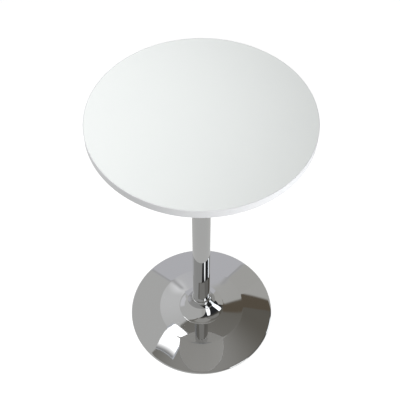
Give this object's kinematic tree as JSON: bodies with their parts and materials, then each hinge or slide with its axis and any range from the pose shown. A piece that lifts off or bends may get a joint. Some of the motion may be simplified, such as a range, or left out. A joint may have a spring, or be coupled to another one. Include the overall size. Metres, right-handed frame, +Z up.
{
  "type": "round pedestal table",
  "caption": "Fixed-height round bar table: a white laminate top on one chrome tube column and a weighted chrome trumpet base.",
  "frame": {"origin": "centre of the base, on the floor", "axes": "+Z up along the column; +X towards the first screw of the plate under the top"},
  "size_m": [0.6, 0.6, 1],
  "materials": {
    "white_laminate": "satin",
    "white_edge": "satin",
    "board": "raw fibreboard",
    "chrome": "mirror",
    "grey_paint": "powder coat",
    "zinc_steel": "zinc plated",
    "cast_iron": "black primer",
    "black_rubber": "matt"
  },
  "bodies": {
    "root": {"ballast_disc": "cast_iron", "base_shell": "chrome", "bottom_laminate": "white_laminate", "column_foot_plug": "zinc_steel", "column_top_plug": "zinc_steel", "column_tube": "chrome", "edge_band": "white_edge", "floor_ring": "black_rubber", "foot_bolt": "zinc_steel", "foot_spring_washer": "zinc_steel", "foot_washer": "zinc_steel", "hub_tube": "zinc_steel", "neck_collar": "chrome", "plate_insert_1": "zinc_steel", "plate_insert_2": "zinc_steel", "plate_insert_3": "zinc_steel", "plate_insert_4": "zinc_steel", "plate_insert_5": "zinc_steel", "plate_insert_6": "zinc_steel", "plate_screw_1": "zinc_steel", "plate_screw_2": "zinc_steel", "plate_screw_3": "zinc_steel", "plate_screw_4": "zinc_steel", "plate_screw_5": "zinc_steel", "plate_screw_6": "zinc_steel", "plate_socket": "grey_paint", "plate_washer_1": "zinc_steel", "plate_washer_2": "zinc_steel", "plate_washer_3": "zinc_steel", "plate_washer_4": "zinc_steel", "plate_washer_5": "zinc_steel", "plate_washer_6": "zinc_steel", "rattle_ring": "black_rubber", "tabletop_core": "board", "top_bolt": "zinc_steel", "top_laminate": "white_laminate", "top_plate": "grey_paint", "top_spring_washer": "zinc_steel", "top_washer": "zinc_steel"}
  },
  "joints": []
}
